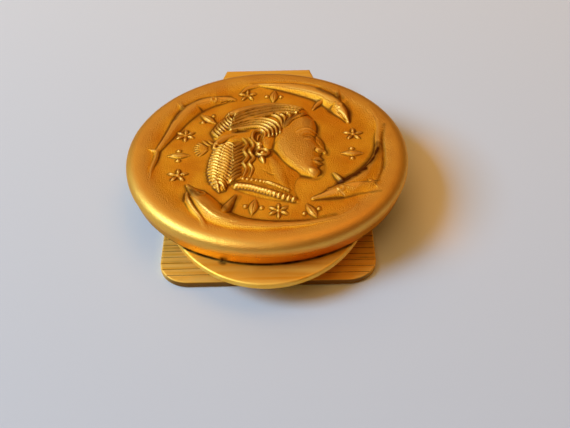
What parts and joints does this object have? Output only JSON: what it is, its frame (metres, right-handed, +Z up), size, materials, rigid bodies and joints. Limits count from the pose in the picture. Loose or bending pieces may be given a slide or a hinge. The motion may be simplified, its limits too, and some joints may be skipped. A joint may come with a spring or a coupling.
{
  "type": "money clip",
  "caption": "Spring-hinged money clip: a grooved base plate, a tapering arm with a thumb tab, and a round relief medallion soldered on top.",
  "frame": {"origin": "under the middle of the clip's length and width, in the plane that it lies on", "axes": "+Z up through the medallion's face, +Y along the clip towards the thumb tab, +X to the right seen from the jaws"},
  "size_m": [0.035, 0.0428, 0.0076],
  "materials": {
    "medallion_gold": "satin gold plate, sand-blasted field, tarnish in the hollows",
    "backing_gold": "satin gold plate",
    "dark_solder": "oxidised solder",
    "polished_gold": "smooth gold plate, fine brush lines",
    "brushed_gold": "gold plate brushed across, with fine grooves",
    "pin_gold": "gold plate, polished heads",
    "spring_steel": "bright drawn wire"
  },
  "bodies": {
    "base": {"base_plate": "brushed_gold", "torsion_spring": "spring_steel"},
    "arm": {"clip_arm": "polished_gold", "hinge_pin": "pin_gold", "mount_solder": "dark_solder", "backing_disc": "backing_gold", "seam_solder": "dark_solder", "medallion": "medallion_gold"}
  },
  "joints": [
    {"name": "arm_hinge", "type": "hinge", "parent": "base", "child": "arm", "pos_m": [0, 0.0117, 0.0019], "axis": [-1, 0, 0], "range_deg": [0, 17], "stiffness_Nm_per_rad": 0.02, "springref_deg": -68.75, "deforming": ["torsion_spring"]}
  ]
}
